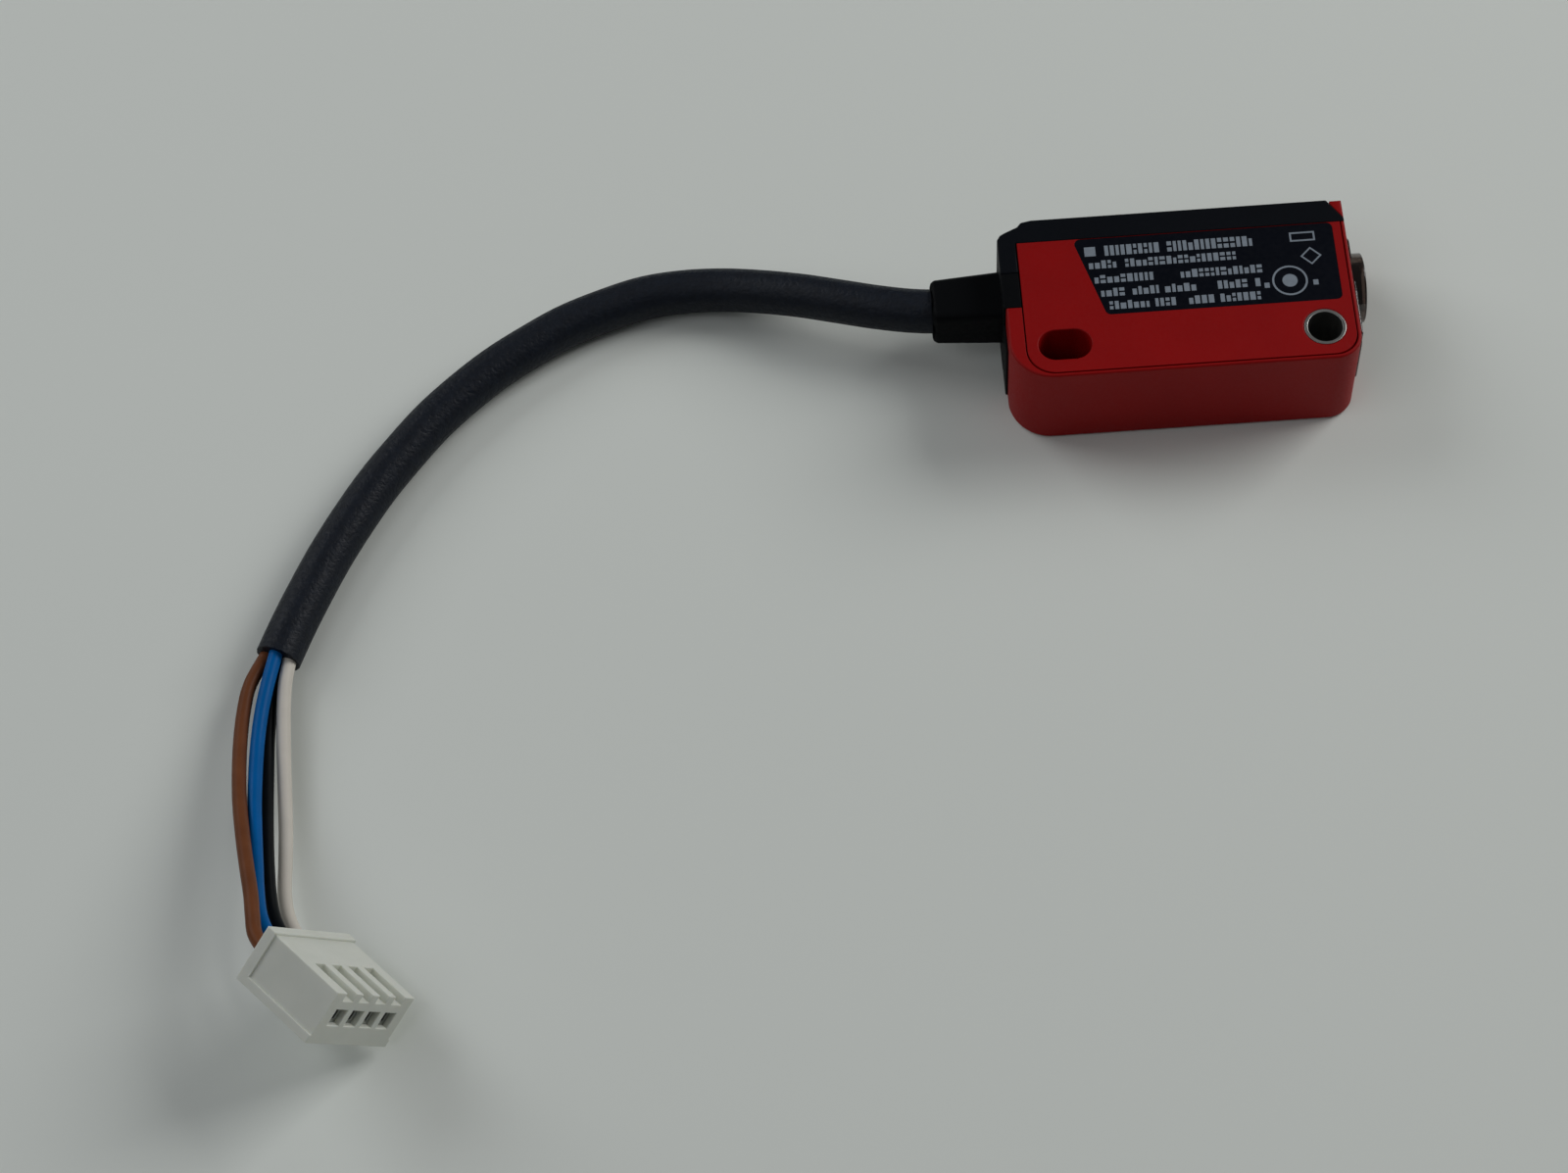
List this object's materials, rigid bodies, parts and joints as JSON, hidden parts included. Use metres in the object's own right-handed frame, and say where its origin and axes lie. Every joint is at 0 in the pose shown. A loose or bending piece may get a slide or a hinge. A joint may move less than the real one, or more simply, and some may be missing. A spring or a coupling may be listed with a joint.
{
  "type": "photoelectric sensor",
  "caption": "Miniature rectangular photoelectric sensor with two mounting holes, a turning range adjuster, and a short lead that ends in a flat wire-to-board plug.",
  "frame": {"origin": "middle of the housing's footprint as it lies on a large side, adjuster boss included, lead left out", "axes": "+X towards the adjuster end, +Y out of the optics front, +Z out of the large side with the nameplate"},
  "size_m": [0.1128, 0.0853, 0.0143],
  "materials": {
    "red_housing": "fine matt",
    "black_plastic": "fine matt",
    "black_rubber": "soft matt",
    "jacket": "grained pvc",
    "nameplate": "printed foil",
    "optics_window": "polished",
    "lens": "polished",
    "display_window": "polished",
    "steel": "turned",
    "tin_plate": "satin",
    "brass": "turned",
    "adjuster": "moulded",
    "board": "solder resist",
    "chip": "moulded",
    "led_green": "clear resin",
    "led_yellow": "clear resin",
    "wire_brown": "extruded",
    "wire_blue": "extruded",
    "wire_black": "extruded",
    "wire_white": "extruded",
    "plug_nylon": "natural nylon"
  },
  "bodies": {
    "root": {"housing_shell": "red_housing", "side_cover": "red_housing", "nameplate": "nameplate", "front_cover": "black_plastic", "front_gasket": "black_rubber", "optics_window": "optics_window", "transmitter_lens": "lens", "receiver_lens": "lens", "light_barrier": "black_rubber", "optics_holder": "black_plastic", "emitter_led": "chip", "guide_rod": "steel", "display_window": "display_window", "light_guides": "lens", "power_led": "led_green", "output_led": "led_yellow", "led_board": "board", "main_board": "board", "board_components": "chip", "shield_can": "tin_plate", "mounting_sleeve": "steel", "strain_relief": "black_rubber", "cord_anchor": "tin_plate", "board_leads": "wire_white", "cable_jacket": "jacket", "wire_brown": "wire_brown", "wire_blue": "wire_blue", "wire_black": "wire_black", "wire_white": "wire_white", "plug_housing": "plug_nylon", "plug_contacts": "tin_plate"},
    "adjuster": {"range_spindle": "adjuster", "spindle_seal": "black_rubber", "slip_clutch": "brass"},
    "carriage": {"receiver_carriage": "black_plastic", "receiver_diode": "chip"}
  },
  "joints": [
    {"name": "range_turn", "type": "hinge", "parent": "root", "child": "adjuster", "pos_m": [0.0177, 0.0023, 0.0057], "axis": [1, 0, 0], "range_deg": [-1350, 1530]},
    {"name": "receiver_shift", "type": "slide", "parent": "root", "child": "carriage", "axis": [1, 0, 0], "range_m": [-0.00075, 0.00085]}
  ],
  "couplings": [
    {"joint": "range_turn", "follows": "receiver_shift", "rad_per_m": 31416}
  ]
}
